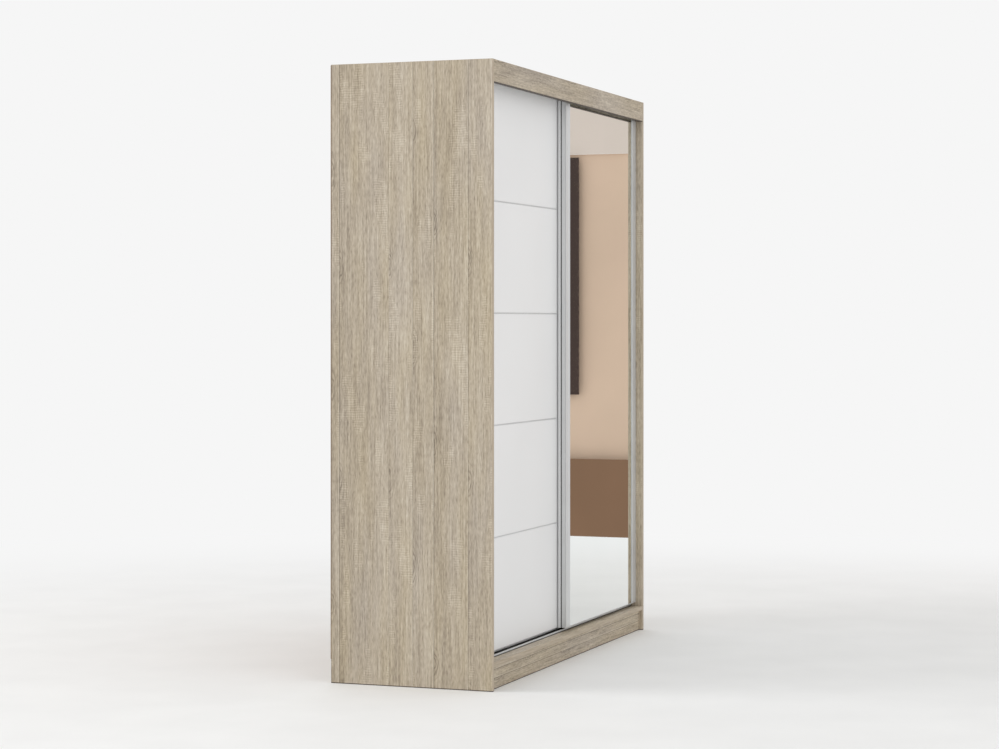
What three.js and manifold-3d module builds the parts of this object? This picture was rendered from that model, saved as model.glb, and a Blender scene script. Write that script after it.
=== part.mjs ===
// A two-door sliding wardrobe. The carcass is oak-print chipboard with a recessed plinth, a fascia that
// hides the top track, a partition, shelves and a hanging rail. A mirror door runs on the front track and
// a white door of five fields runs on the rear track. Each door stands on two grooved wheels that roll on
// a rib of the bottom track, and two plastic guides keep its top in a channel of the top track.
//
// Millimetres. +X is right as seen from the front, +Y runs from front to back, +Z is up.
// The origin is on the floor, under the middle of the carcass.

import * as THREE from 'three';
import { mergeVertices } from 'three/addons/utils/BufferGeometryUtils.js';
import Module from 'manifold-3d';

const wasm = await Module();
wasm.setup();

// Carcass
const WIDTH = 1800;
const DEPTH = 610;
const HEIGHT = 2180;
const BOARD = 16;
const BACK_SHEET = 3;
const BACK_INSET = 2;
const PLINTH_HEIGHT = 83;
const PLINTH_RECESS = 15;
const REAR_PLINTH_INSET = 2;
const FASCIA_HEIGHT = 80;

// Fittings inside
const PARTITION_FRONT = -200;
const SHELF_FRONT = -195;
const SHELF_COUNT = 4;
const SHELF_BAY = 400;
const HAT_SHELF_BOTTOM = 1840;
const RAIL_HEIGHT = 1780;
const RAIL_DEPTH = 50;
const RAIL_TALL = 30;
const RAIL_THICK = 15;
const RAIL_WALL = 1.2;
const SOCKET_WALL = 3;
const SOCKET_COLLAR = 12;
const SOCKET_FLANGE = 3;
const SOCKET_FLANGE_LIP = 8;

// Doors
const SIDE_GAP = 2;
const DOOR_WIDTH = 903;
const DOOR_BOTTOM = 114;
const DOOR_TOP = 2118;
const MIRROR_DOOR_FRONT = -277;
const TRACK_PITCH = 34;
const STILE_WIDTH = 48;
const STILE_DEPTH = 18;
const STILE_DISH = 3;
const STILE_CORNER = 1;
const SIDE_GROOVE_FRONT = 1.5;
const SIDE_GROOVE_BACK = 4.5;
const SIDE_GROOVE_DEPTH = 2;
const SLOT_BOTTOM = 38;
const PANEL_FRONT = 3;
const PANEL_BACK = 13;
const PANEL_EDGE_GAP = 0.5;
const PANEL_CLEARANCE = 2;
const FIELD_COUNT = 5;
const FIELD_HEIGHT = 392;
const DIVIDER_GAP = 4;
const DIVIDER_THICK = 3.4;
const DIVIDER_END_GAP = 2;
const DIVIDER_PROUD = 1;
const GLASS = 4;
const RAIL_LIP = 1.7;
const RAIL_LEG = 34;
const RAIL_FRONT = 1.5;
const FIT_GAP = 0.3;

// Running gear
const WHEEL_INSET = 110;
const WHEEL_CENTRE_HEIGHT = 118;
const WHEEL_CENTRE_DEPTH = 24.25;
const WHEEL_RADIUS = 14;
const WHEEL_WIDTH = 7;
const GROOVE_RADIUS = 11.7;
const GROOVE_HALF_WIDTH = 1.6;
const GROOVE_MOUTH_HALF = 2.4;
const BORE_RADIUS = 2.7;
const PIN_RADIUS = 2.6;
const PIN_HEAD_RADIUS = 4.6;
const PIN_HEAD = 1.2;
const CARRIER_WIDTH = 60;
const CARRIER_TALL = 49;
const CARRIER_DROP = 5;
const CARRIER_THICK = 2;
const CARRIER_CORNER = 5;
const GUIDE_LENGTH = 40;
const GUIDE_PLATE = 3.75;
const GUIDE_TAIL = 44;
const GUIDE_REACH = 13;
const GUIDE_RISE = 3;
const GUIDE_HEAD = 31;

// Tracks
const RIB_THICK = 2.5;
const RIB_TOP = 106;
const BOTTOM_TRACK_BASE = 1.5;
const BOTTOM_TRACK_FRONT = -260;
const BOTTOM_TRACK_BACK = -208;
const TOP_TRACK_HEIGHT = 36;
const TOP_TRACK_WALL = 2;

// Steps in each curved stretch of an outline, and around a turned piece
const CURVE_STEPS = 10;
const PIN_STEPS = 24;
const WHEEL_STEPS = 40;

// Pile seals
const SEAL_WIDTH = 7;
const SEAL_CLEARANCE = 1;
const EDGE_SEAL_WIDTH = 8;
const EDGE_SEAL_THICK = 1.4;

// Places that follow from the dimensions above
const FRONT = -DEPTH / 2;
const CARCASS_BACK = DEPTH / 2 - BACK_SHEET;
const INNER = WIDTH / 2 - BOARD;
const FLOOR_TOP = PLINTH_HEIGHT + BOARD;
const CEILING = HEIGHT - BOARD;
const DOOR_EDGE = INNER - SIDE_GAP;
const WHITE_DOOR_FRONT = MIRROR_DOOR_FRONT + TRACK_PITCH;
const DOOR_HEIGHT = DOOR_TOP - DOOR_BOTTOM;
const FIELD_PITCH = FIELD_HEIGHT + DIVIDER_GAP;
const CARRIER_FRONT = STILE_DEPTH + FIT_GAP;
const CARRIER_BACK = CARRIER_FRONT + CARRIER_THICK;

// Materials

function finish(color, roughness, metalness) {
  return new THREE.MeshStandardMaterial({ color, roughness, metalness });
}

const oakBoard = () => finish(0xb9a98e, 0.6, 0);
const whiteBoard = () => finish(0xe9eaeb, 0.35, 0);
const backBoard = () => finish(0xe2ddd2, 0.7, 0);
const hardboard = () => finish(0x8a6a48, 0.8, 0);
const aluminium = () => finish(0xc4c6c6, 0.35, 1);
const silvering = () => finish(0xf2f4f3, 0.02, 1);
const chromeSteel = () => finish(0xd8d8d8, 0.15, 1);
const zincSteel = () => finish(0xa9adb0, 0.4, 1);
const blackNylon = () => finish(0x1d1e20, 0.5, 0);
const whiteNylon = () => finish(0xdcdcd8, 0.45, 0);
const greyPile = () => finish(0xc4c5c6, 0.95, 0);

// Shapes

// A board or strip that fills the box between two corners.
function board(name, material, [x0, y0, z0], [x1, y1, z1]) {
  const mesh = new THREE.Mesh(new THREE.BoxGeometry(x1 - x0, y1 - y0, z1 - z0), material);
  mesh.name = name;
  mesh.position.set((x0 + x1) / 2, (y0 + y1) / 2, (z0 + z1) / 2);
  return mesh;
}

function outline(points) {
  const shape = new THREE.Shape();
  points.forEach(([a, b], i) => (i ? shape.lineTo(a, b) : shape.moveTo(a, b)));
  shape.closePath();
  return shape;
}

function extruded(shape, depth) {
  return new THREE.ExtrudeGeometry(shape, { depth, bevelEnabled: false, curveSegments: CURVE_STEPS });
}

// A cross-section drawn in depth and height, run along the width of the wardrobe.
function sectionAlongX(shape, length) {
  const geometry = extruded(shape, length);
  const depthAxis = new THREE.Vector3(0, 1, 0);
  const heightAxis = new THREE.Vector3(0, 0, 1);
  const widthAxis = new THREE.Vector3(1, 0, 0);
  geometry.applyMatrix4(new THREE.Matrix4().makeBasis(depthAxis, heightAxis, widthAxis));
  return geometry;
}

function profileAlongX(name, material, points, x0, x1) {
  const mesh = new THREE.Mesh(sectionAlongX(outline(points), x1 - x0), material);
  mesh.name = name;
  mesh.position.x = x0;
  return mesh;
}

// A slot shape with round ends, such as the section of the hanging rail.
function oval(thick, tall, path = new THREE.Shape()) {
  const radius = thick / 2;
  const rise = tall / 2 - radius;
  path.moveTo(radius, -rise);
  path.lineTo(radius, rise);
  path.absarc(0, rise, radius, 0, Math.PI, false);
  path.lineTo(-radius, -rise);
  path.absarc(0, -rise, radius, Math.PI, 2 * Math.PI, false);
  return path;
}

// A closed profile of [radius, distance along the axis] turned about an axis that runs front to back.
function turned(name, material, profile, segments) {
  const points = profile.map(([radius, along]) => new THREE.Vector2(radius, along));
  const mesh = new THREE.Mesh(new THREE.LatheGeometry(points, segments), material);
  mesh.name = name;
  return mesh;
}

// Solids for joining

function toSolid(geometry) {
  const bare = geometry.clone();
  bare.deleteAttribute('normal');
  bare.deleteAttribute('uv');
  const merged = mergeVertices(bare);
  const vertProperties = Float32Array.from(merged.attributes.position.array);
  const triVerts = Uint32Array.from(merged.index.array);
  return new wasm.Manifold(new wasm.Mesh({ numProp: 3, vertProperties, triVerts }));
}

function toGeometry(solid) {
  const mesh = solid.getMesh();
  const geometry = new THREE.BufferGeometry();
  geometry.setAttribute('position', new THREE.BufferAttribute(mesh.vertProperties, 3));
  geometry.setIndex(new THREE.BufferAttribute(mesh.triVerts, 1));
  return geometry;
}

// Carcass

function carcassBoards() {
  const side = WIDTH / 2;
  const half = BOARD / 2;
  const fasciaBottom = HEIGHT - FASCIA_HEIGHT;
  const plinthFront = FRONT + PLINTH_RECESS;
  const plinthBack = plinthFront + BOARD;
  const rearPlinthBack = CARCASS_BACK - REAR_PLINTH_INSET;
  const rearPlinthFront = rearPlinthBack - BOARD;
  const corners = {
    side_panel_left: [[-side, FRONT, 0], [-INNER, CARCASS_BACK, HEIGHT]],
    side_panel_right: [[INNER, FRONT, 0], [side, CARCASS_BACK, HEIGHT]],
    bottom_panel: [[-INNER, FRONT, PLINTH_HEIGHT], [INNER, CARCASS_BACK, FLOOR_TOP]],
    top_panel: [[-INNER, FRONT + BOARD, CEILING], [INNER, CARCASS_BACK, HEIGHT]],
    top_fascia: [[-INNER, FRONT, fasciaBottom], [INNER, FRONT + BOARD, HEIGHT]],
    plinth_front: [[-INNER, plinthFront, 0], [INNER, plinthBack, PLINTH_HEIGHT]],
    plinth_rear: [[-INNER, rearPlinthFront, 0], [INNER, rearPlinthBack, PLINTH_HEIGHT]],
    plinth_brace: [[-half, plinthBack, 0], [half, rearPlinthFront, PLINTH_HEIGHT]],
    partition: [[-half, PARTITION_FRONT, FLOOR_TOP], [half, CARCASS_BACK, CEILING]],
  };
  return Object.entries(corners).map(([name, [low, high]]) => board(name, oakBoard(), low, high));
}

// Two thin sheets are nailed to the back edges and meet on the partition.
function backSheets() {
  const low = PLINTH_HEIGHT + 1;
  const high = HEIGHT - BACK_INSET;
  const outer = WIDTH / 2 - BACK_INSET;
  const joint = 0.5;
  return [
    board('back_panel_left', backBoard(), [-outer, CARCASS_BACK, low], [-joint, DEPTH / 2, high]),
    board('back_panel_right', backBoard(), [joint, CARCASS_BACK, low], [outer, DEPTH / 2, high]),
  ];
}

function shelves() {
  const half = BOARD / 2;
  const list = [];
  for (let i = 0; i < SHELF_COUNT; i += 1) {
    const bottom = FLOOR_TOP + SHELF_BAY + i * (SHELF_BAY + BOARD);
    const low = [-INNER, SHELF_FRONT, bottom];
    const high = [-half, CARCASS_BACK, bottom + BOARD];
    list.push(board(`shelf_${i + 1}`, oakBoard(), low, high));
  }
  const hatLow = [half, SHELF_FRONT, HAT_SHELF_BOTTOM];
  const hatHigh = [INNER, CARCASS_BACK, HAT_SHELF_BOTTOM + BOARD];
  list.push(board('hat_shelf', oakBoard(), hatLow, hatHigh));
  return list;
}

// The hanging rail is an oval steel tube whose ends sit in two sockets.
function hangingRail() {
  const section = oval(RAIL_THICK, RAIL_TALL);
  section.holes.push(oval(RAIL_THICK - 2 * RAIL_WALL, RAIL_TALL - 2 * RAIL_WALL, new THREE.Path()));
  const start = BOARD / 2 + SOCKET_FLANGE + PANEL_EDGE_GAP;
  const end = INNER - SOCKET_FLANGE - PANEL_EDGE_GAP;
  const mesh = new THREE.Mesh(sectionAlongX(section, end - start), chromeSteel());
  mesh.name = 'hanging_rail';
  mesh.position.set(start, RAIL_DEPTH, RAIL_HEIGHT);
  return mesh;
}

// A socket is a flange against the board with a collar that holds the tube's end.
function railSocket(name, wall, direction) {
  const inside = 2 * FIT_GAP;
  const outside = inside + 2 * SOCKET_WALL;
  const collar = oval(RAIL_THICK + outside, RAIL_TALL + outside);
  collar.holes.push(oval(RAIL_THICK + inside, RAIL_TALL + inside, new THREE.Path()));
  const lip = outside + SOCKET_FLANGE_LIP;
  const flange = sectionAlongX(oval(RAIL_THICK + lip, RAIL_TALL + lip), SOCKET_FLANGE);
  const ring = sectionAlongX(collar, SOCKET_COLLAR);
  const flangeStart = direction > 0 ? wall : wall - SOCKET_FLANGE;
  const ringStart = direction > 0 ? wall + 1 : wall - 1 - SOCKET_COLLAR;
  flange.translate(flangeStart, 0, 0);
  ring.translate(ringStart, 0, 0);
  const mesh = new THREE.Mesh(toGeometry(toSolid(flange).add(toSolid(ring))), zincSteel());
  mesh.name = name;
  mesh.position.set(0, RAIL_DEPTH, RAIL_HEIGHT);
  return mesh;
}

// Tracks

function ribCentres() {
  return [MIRROR_DOOR_FRONT + WHEEL_CENTRE_DEPTH, WHITE_DOOR_FRONT + WHEEL_CENTRE_DEPTH];
}

// The bottom track is a flat strip with one upright rib for each door's wheels.
function bottomTrack() {
  const baseTop = FLOOR_TOP + BOTTOM_TRACK_BASE;
  const points = [
    [BOTTOM_TRACK_FRONT, FLOOR_TOP],
    [BOTTOM_TRACK_FRONT, baseTop],
  ];
  for (const centre of ribCentres()) {
    points.push([centre - RIB_THICK / 2, baseTop]);
    points.push([centre - RIB_THICK / 2, RIB_TOP]);
    points.push([centre + RIB_THICK / 2, RIB_TOP]);
    points.push([centre + RIB_THICK / 2, baseTop]);
  }
  points.push([BOTTOM_TRACK_BACK, baseTop]);
  points.push([BOTTOM_TRACK_BACK, FLOOR_TOP]);
  return profileAlongX('bottom_track', aluminium(), points, -INNER, INNER);
}

// The top track is a web with three flanges, which make one open channel over each door.
function topTrack() {
  const low = CEILING - TOP_TRACK_HEIGHT;
  const webBottom = CEILING - TOP_TRACK_WALL;
  const first = MIRROR_DOOR_FRONT + STILE_DEPTH / 2 - TRACK_PITCH / 2;
  const half = TOP_TRACK_WALL / 2;
  const points = [[first - half, CEILING]];
  for (let i = 0; i < 3; i += 1) {
    const centre = first + i * TRACK_PITCH;
    if (i > 0) {
      points.push([centre - half, webBottom]);
    }
    points.push([centre - half, low]);
    points.push([centre + half, low]);
    if (i < 2) {
      points.push([centre + half, webBottom]);
    }
  }
  points.push([first + 2 * TRACK_PITCH + half, CEILING]);
  return profileAlongX('top_track', aluminium(), points, -INNER, INNER);
}

// Doors. Each door is a group whose origin is its lower front left corner.

// A stile is an extrusion with a dished front that serves as the grip, a slot that holds the panel and a
// shadow groove along its outer side.
// direction is 1 when the door's outer edge is on the left of the stile, and -1 when it is on the right.
function stile(name, edge, direction) {
  const at = (s) => edge + direction * s;
  const corner = STILE_CORNER;
  const slotFront = PANEL_FRONT - FIT_GAP;
  const slotBack = PANEL_BACK + FIT_GAP;
  const slotLip = slotBack + corner;
  const shape = new THREE.Shape();
  shape.moveTo(at(0), corner);
  shape.lineTo(at(corner), 0);
  shape.quadraticCurveTo(at(STILE_WIDTH / 2), 2 * STILE_DISH, at(STILE_WIDTH - corner), 0);
  shape.lineTo(at(STILE_WIDTH), corner);
  shape.lineTo(at(STILE_WIDTH), slotFront);
  shape.lineTo(at(SLOT_BOTTOM), slotFront);
  shape.lineTo(at(SLOT_BOTTOM), slotBack);
  shape.lineTo(at(STILE_WIDTH), slotBack);
  shape.lineTo(at(STILE_WIDTH), slotLip);
  shape.lineTo(at(SLOT_BOTTOM), slotLip);
  shape.lineTo(at(SLOT_BOTTOM - corner), STILE_DEPTH);
  shape.lineTo(at(0), STILE_DEPTH);
  shape.lineTo(at(0), SIDE_GROOVE_BACK);
  shape.lineTo(at(SIDE_GROOVE_DEPTH), SIDE_GROOVE_BACK);
  shape.lineTo(at(SIDE_GROOVE_DEPTH), SIDE_GROOVE_FRONT);
  shape.lineTo(at(0), SIDE_GROOVE_FRONT);
  shape.closePath();
  const mesh = new THREE.Mesh(extruded(shape, DOOR_HEIGHT), aluminium());
  mesh.name = name;
  return mesh;
}

// The bottom and top rails are angles: a lip under or over the panel and a leg behind it.
function doorRail(name, isTop) {
  const height = (z) => (isTop ? DOOR_HEIGHT - z : z);
  const legFront = PANEL_BACK + FIT_GAP;
  const points = [
    [RAIL_FRONT, 0],
    [STILE_DEPTH, 0],
    [STILE_DEPTH, RAIL_LEG],
    [legFront, RAIL_LEG],
    [legFront, RAIL_LIP],
    [RAIL_FRONT, RAIL_LIP],
  ].map(([y, z]) => [y, height(z)]);
  const start = STILE_WIDTH + PANEL_EDGE_GAP;
  return profileAlongX(name, aluminium(), points, start, DOOR_WIDTH - start);
}

function panelEdges() {
  const left = SLOT_BOTTOM + PANEL_EDGE_GAP;
  return [left, DOOR_WIDTH - left];
}

// Five white fields fill the white door, with a slim strip in each gap between them.
function whiteFields() {
  const [left, right] = panelEdges();
  const stripLeft = STILE_WIDTH + DIVIDER_END_GAP;
  const stripRise = (DIVIDER_GAP - DIVIDER_THICK) / 2;
  const list = [];
  for (let i = 0; i < FIELD_COUNT; i += 1) {
    const bottom = i > 0 ? i * FIELD_PITCH + DIVIDER_GAP : PANEL_CLEARANCE;
    const top = i < FIELD_COUNT - 1 ? (i + 1) * FIELD_PITCH : DOOR_HEIGHT - PANEL_CLEARANCE;
    const fieldLow = [left, PANEL_FRONT, bottom];
    const fieldHigh = [right, PANEL_BACK, top];
    list.push(board(`white_field_${i + 1}`, whiteBoard(), fieldLow, fieldHigh));
    if (i < FIELD_COUNT - 1) {
      const low = [stripLeft, PANEL_FRONT - DIVIDER_PROUD, top + stripRise];
      const high = [DOOR_WIDTH - stripLeft, PANEL_BACK, top + DIVIDER_GAP - stripRise];
      list.push(board(`white_divider_${i + 1}`, aluminium(), low, high));
    }
  }
  return list;
}

// The mirror door holds a sheet of silvered glass in front of a hardboard backing.
function mirrorPanel() {
  const [left, right] = panelEdges();
  const bottom = PANEL_CLEARANCE;
  const top = DOOR_HEIGHT - PANEL_CLEARANCE;
  const glassBack = PANEL_FRONT + GLASS;
  return [
    board('mirror_glass', silvering(), [left, PANEL_FRONT, bottom], [right, glassBack, top]),
    board('mirror_backing', hardboard(), [left, glassBack + FIT_GAP, bottom], [right, PANEL_BACK, top]),
  ];
}

// A carrier is a steel plate screwed behind the bottom rail, with a hole for the wheel's pin.
function carrier(name, x) {
  const half = CARRIER_WIDTH / 2;
  const low = -CARRIER_DROP;
  const high = CARRIER_TALL - CARRIER_DROP;
  const r = CARRIER_CORNER;
  const shape = new THREE.Shape();
  shape.moveTo(-half + r, low);
  shape.lineTo(half - r, low);
  shape.absarc(half - r, low + r, r, -Math.PI / 2, 0, false);
  shape.lineTo(half, high);
  shape.lineTo(-half, high);
  shape.lineTo(-half, low + r);
  shape.absarc(-half + r, low + r, r, Math.PI, 1.5 * Math.PI, false);
  const hole = new THREE.Path();
  hole.absarc(0, WHEEL_CENTRE_HEIGHT - DOOR_BOTTOM, PIN_RADIUS + FIT_GAP, 0, 2 * Math.PI, true);
  shape.holes.push(hole);
  const geometry = extruded(shape, CARRIER_THICK);
  geometry.rotateX(Math.PI / 2);
  const mesh = new THREE.Mesh(geometry, zincSteel());
  mesh.name = name;
  mesh.position.set(x, CARRIER_BACK, 0);
  return mesh;
}

// The pin stands in the carrier's hole and has a head behind the wheel.
function wheelPin(name, x) {
  const headFront = WHEEL_WIDTH / 2 + FIT_GAP;
  const start = CARRIER_FRONT - WHEEL_CENTRE_DEPTH;
  const end = headFront + PIN_HEAD;
  const profile = [
    [0, start],
    [PIN_RADIUS, start],
    [PIN_RADIUS, headFront],
    [PIN_HEAD_RADIUS, headFront],
    [PIN_HEAD_RADIUS, end],
    [0, end],
  ];
  const mesh = turned(name, zincSteel(), profile, PIN_STEPS);
  mesh.position.set(x, WHEEL_CENTRE_DEPTH, WHEEL_CENTRE_HEIGHT - DOOR_BOTTOM);
  return mesh;
}

// A nylon wheel with a groove that sits over the rib.
function wheel(name, x) {
  const half = WHEEL_WIDTH / 2;
  const chamfer = 0.5;
  const profile = [
    [BORE_RADIUS, -half],
    [WHEEL_RADIUS - chamfer, -half],
    [WHEEL_RADIUS, -half + chamfer],
    [WHEEL_RADIUS, -GROOVE_MOUTH_HALF],
    [GROOVE_RADIUS, -GROOVE_HALF_WIDTH],
    [GROOVE_RADIUS, GROOVE_HALF_WIDTH],
    [WHEEL_RADIUS, GROOVE_MOUTH_HALF],
    [WHEEL_RADIUS, half - chamfer],
    [WHEEL_RADIUS - chamfer, half],
    [BORE_RADIUS, half],
    [BORE_RADIUS, -half],
  ];
  const mesh = turned(name, whiteNylon(), profile, WHEEL_STEPS);
  mesh.position.set(x, WHEEL_CENTRE_DEPTH, WHEEL_CENTRE_HEIGHT - DOOR_BOTTOM);
  return mesh;
}

// A guide is an angle behind the top rail whose head slides in the top track's channel.
function topGuide(name, x) {
  const back = CARRIER_FRONT + GUIDE_PLATE;
  const headFront = STILE_DEPTH / 2 - GUIDE_REACH;
  const headBottom = DOOR_HEIGHT + GUIDE_RISE;
  const headTop = headBottom + GUIDE_HEAD;
  const points = [
    [CARRIER_FRONT, DOOR_HEIGHT - GUIDE_TAIL],
    [back, DOOR_HEIGHT - GUIDE_TAIL],
    [back, headTop],
    [headFront, headTop],
    [headFront, headBottom],
    [CARRIER_FRONT, headBottom],
  ];
  return profileAlongX(name, blackNylon(), points, x - GUIDE_LENGTH / 2, x + GUIDE_LENGTH / 2);
}

// What both doors share: two stiles, two rails, and at each end a carrier, a pin, a wheel and a guide.
function doorFrame(prefix) {
  const list = [
    stile(`${prefix}_stile_left`, 0, 1),
    stile(`${prefix}_stile_right`, DOOR_WIDTH, -1),
    doorRail(`${prefix}_rail_bottom`, false),
    doorRail(`${prefix}_rail_top`, true),
  ];
  const ends = { left: WHEEL_INSET, right: DOOR_WIDTH - WHEEL_INSET };
  for (const [end, x] of Object.entries(ends)) {
    list.push(carrier(`${prefix}_carrier_${end}`, x));
    list.push(wheelPin(`${prefix}_pin_${end}`, x));
    list.push(wheel(`${prefix}_wheel_${end}`, x));
    list.push(topGuide(`${prefix}_guide_${end}`, x));
  }
  return list;
}

// A pile seal on a door's outer edge closes the gap to the side panel.
function edgeSeal(name, face, direction) {
  const near = face + direction * FIT_GAP;
  const far = near + direction * EDGE_SEAL_THICK;
  const y0 = (STILE_DEPTH - EDGE_SEAL_WIDTH) / 2;
  const low = [Math.min(near, far), y0, 0];
  const high = [Math.max(near, far), y0 + EDGE_SEAL_WIDTH, DOOR_HEIGHT];
  return board(name, greyPile(), low, high);
}

// A pile seal behind the mirror door's inner stile closes the gap between the two doors. It sits at the
// outer end of the stile's flat back.
function overlapSeal() {
  const x0 = STILE_CORNER;
  const low = [x0, STILE_DEPTH + FIT_GAP, 0];
  const high = [x0 + SEAL_WIDTH, TRACK_PITCH - SEAL_CLEARANCE, DOOR_HEIGHT];
  return board('mirror_overlap_seal', greyPile(), low, high);
}

function whiteDoor() {
  const door = new THREE.Group();
  door.add(...doorFrame('white'), ...whiteFields(), edgeSeal('white_edge_seal', 0, -1));
  door.position.set(-DOOR_EDGE, WHITE_DOOR_FRONT, DOOR_BOTTOM);
  return door;
}

function mirrorDoor() {
  const door = new THREE.Group();
  door.add(...doorFrame('mirror'), ...mirrorPanel());
  door.add(edgeSeal('mirror_edge_seal', DOOR_WIDTH, 1), overlapSeal());
  door.position.set(DOOR_EDGE - DOOR_WIDTH, MIRROR_DOOR_FRONT, DOOR_BOTTOM);
  return door;
}

// Assembly

const wardrobe = new THREE.Group();
wardrobe.add(...carcassBoards(), ...backSheets(), ...shelves());
wardrobe.add(hangingRail());
wardrobe.add(railSocket('rail_socket_left', BOARD / 2, 1));
wardrobe.add(railSocket('rail_socket_right', INNER, -1));
wardrobe.add(bottomTrack(), topTrack());
wardrobe.add(whiteDoor(), mirrorDoor());

export default wardrobe;
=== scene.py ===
# A two-door sliding wardrobe: an oak-print chipboard carcass, a white door of five fields on the rear
# track and a mirror door on the front track, with shelves and a hanging rail inside. Metres.
import math

import bmesh
import bpy
from mathutils import Matrix, Vector


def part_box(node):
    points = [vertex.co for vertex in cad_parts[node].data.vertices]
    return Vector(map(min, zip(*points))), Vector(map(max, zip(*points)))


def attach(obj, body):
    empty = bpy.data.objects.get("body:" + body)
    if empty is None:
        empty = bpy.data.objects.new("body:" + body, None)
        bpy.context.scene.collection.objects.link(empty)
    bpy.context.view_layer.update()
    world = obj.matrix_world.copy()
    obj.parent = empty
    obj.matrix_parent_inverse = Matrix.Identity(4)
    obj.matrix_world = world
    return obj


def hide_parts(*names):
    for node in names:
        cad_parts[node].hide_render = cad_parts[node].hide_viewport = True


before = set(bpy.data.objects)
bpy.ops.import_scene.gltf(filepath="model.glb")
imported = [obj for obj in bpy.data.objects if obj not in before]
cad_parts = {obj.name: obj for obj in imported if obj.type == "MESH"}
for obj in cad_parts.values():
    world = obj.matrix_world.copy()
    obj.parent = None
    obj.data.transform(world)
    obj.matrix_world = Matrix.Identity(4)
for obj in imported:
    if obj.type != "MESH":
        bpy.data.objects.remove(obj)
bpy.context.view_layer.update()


# Studio. The wardrobe stands on a pale matt floor that runs out into a white surround, which gives most
# of the light. A soft light hangs behind it to the left, and a weak one stands low at the front left. A
# few flats stand well to the right, hidden from the camera, as a room wall for the mirror to reflect.

def paint(code):
    """The linear colour of an sRGB hex value."""
    levels = [int(code[i : i + 2], 16) / 255 for i in (0, 2, 4)]
    return [v / 12.92 if v <= 0.04045 else ((v + 0.055) / 1.055) ** 2.4 for v in levels] + [1]


def add(tree, kind, settings=None, links=None):
    """Adds a node, sets its fields and sockets, and links its inputs to nodes or sockets."""
    node = tree.nodes.new(kind)
    for key, value in (settings or {}).items():
        if key == "stops":
            ramp = node.color_ramp
            while len(ramp.elements) < len(value):
                ramp.elements.new(0.5)
            for element, (position, colour) in zip(ramp.elements, value):
                element.position = position
                element.color = colour if hasattr(colour, "__len__") else (colour, colour, colour, 1)
        elif isinstance(key, str) and hasattr(node, key):
            setattr(node, key, value)
        else:
            node.inputs[key].default_value = value
    for key, source in (links or {}).items():
        tree.links.new(getattr(source, "outputs", [source])[0], node.inputs[key])
    return node


def new_finish(name):
    """A material with an empty node tree, and its tree."""
    material = bpy.data.materials.new(name)
    material.use_nodes = True
    material.node_tree.nodes.clear()
    return material, material.node_tree


def close_finish(tree, shader):
    """Joins the finished shader to the material's output."""
    add(tree, "ShaderNodeOutputMaterial", links={"Surface": shader})


SURROUND = "f6f6f6"
SURROUND_LIGHT = 0.86
EYE = Vector((-8.7004, -3.1950, 1.2740))
EYE_TURN = -69.837
LENS = 87.14
SENSOR = 36
RISE = -0.0529
FLOOR_RADIUS = 60
FLOOR_NEAR = 1.7
FLOOR_FAR = 5.4

scene = bpy.context.scene
scene.view_settings.view_transform = "Standard"

eye = bpy.data.cameras.new("camera")
eye.lens = LENS
eye.sensor_width = SENSOR
eye.shift_y = RISE
eye.clip_end = 200
camera = bpy.data.objects.new("camera", eye)
camera.location = EYE
camera.rotation_euler = (math.pi / 2, 0, math.radians(EYE_TURN))
scene.collection.objects.link(camera)
scene.camera = camera

# The camera and the mirror see the surround in its own colour. What it lights is lit in plain white.
world = bpy.data.worlds.new("surround")
world.use_nodes = True
world.node_tree.nodes.clear()
scene.world = world
seen = add(world.node_tree, "ShaderNodeBackground", {"Color": paint(SURROUND), "Strength": 1})
lighting = add(world.node_tree, "ShaderNodeBackground",
               {"Color": paint("ffffff"), "Strength": SURROUND_LIGHT})
ray = add(world.node_tree, "ShaderNodeLightPath")
direct = add(world.node_tree, "ShaderNodeMath", {"operation": "MAXIMUM"},
             {0: ray.outputs["Is Camera Ray"], 1: ray.outputs["Is Glossy Ray"]})
both = add(world.node_tree, "ShaderNodeMixShader", links={0: direct, 1: lighting, 2: seen})
add(world.node_tree, "ShaderNodeOutputWorld", links={"Surface": both})


def soft_light(name, place, target, size, power):
    """A round soft light of a given width that faces a target."""
    lamp = bpy.data.lights.new(name, "AREA")
    lamp.shape = "DISK"
    lamp.size = size
    lamp.energy = power
    holder = bpy.data.objects.new(name, lamp)
    holder.location = place
    holder.rotation_euler = (Vector(target) - Vector(place)).to_track_quat("-Z", "Y").to_euler()
    scene.collection.objects.link(holder)


soft_light("back_light", (-2.6, 4.0, 5.6), (-0.2, -0.2, 0.6), 2.6, 88)
soft_light("low_light", (-4.5, -4.5, 0.9), (-0.4, -0.2, 0.2), 1.6, 16)

floor_finish, tree = new_finish("matt_studio_floor")
place = add(tree, "ShaderNodeTexCoord")
distance = add(tree, "ShaderNodeVectorMath", {"operation": "LENGTH"}, {0: place.outputs["Object"]})
fade = add(tree, "ShaderNodeMapRange",
           {"interpolation_type": "SMOOTHERSTEP", "From Min": FLOOR_NEAR, "From Max": FLOOR_FAR},
           {"Value": distance.outputs["Value"]})
mottle = add(tree, "ShaderNodeTexNoise", {"Scale": 3.0, "Detail": 4.0}, {"Vector": place.outputs["Object"]})
tone = add(tree, "ShaderNodeValToRGB",
           {"stops": [(0.3, paint("f1f1f0")), (0.7, paint("f5f5f4"))]}, {"Fac": mottle})
matt = add(tree, "ShaderNodeBsdfPrincipled", {"Roughness": 0.75, "Specular IOR Level": 0.3},
           {"Base Color": tone})
glow = add(tree, "ShaderNodeEmission", {"Color": paint(SURROUND), "Strength": 1})
close_finish(tree, add(tree, "ShaderNodeMixShader", links={0: fade, 1: matt, 2: glow}))


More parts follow.
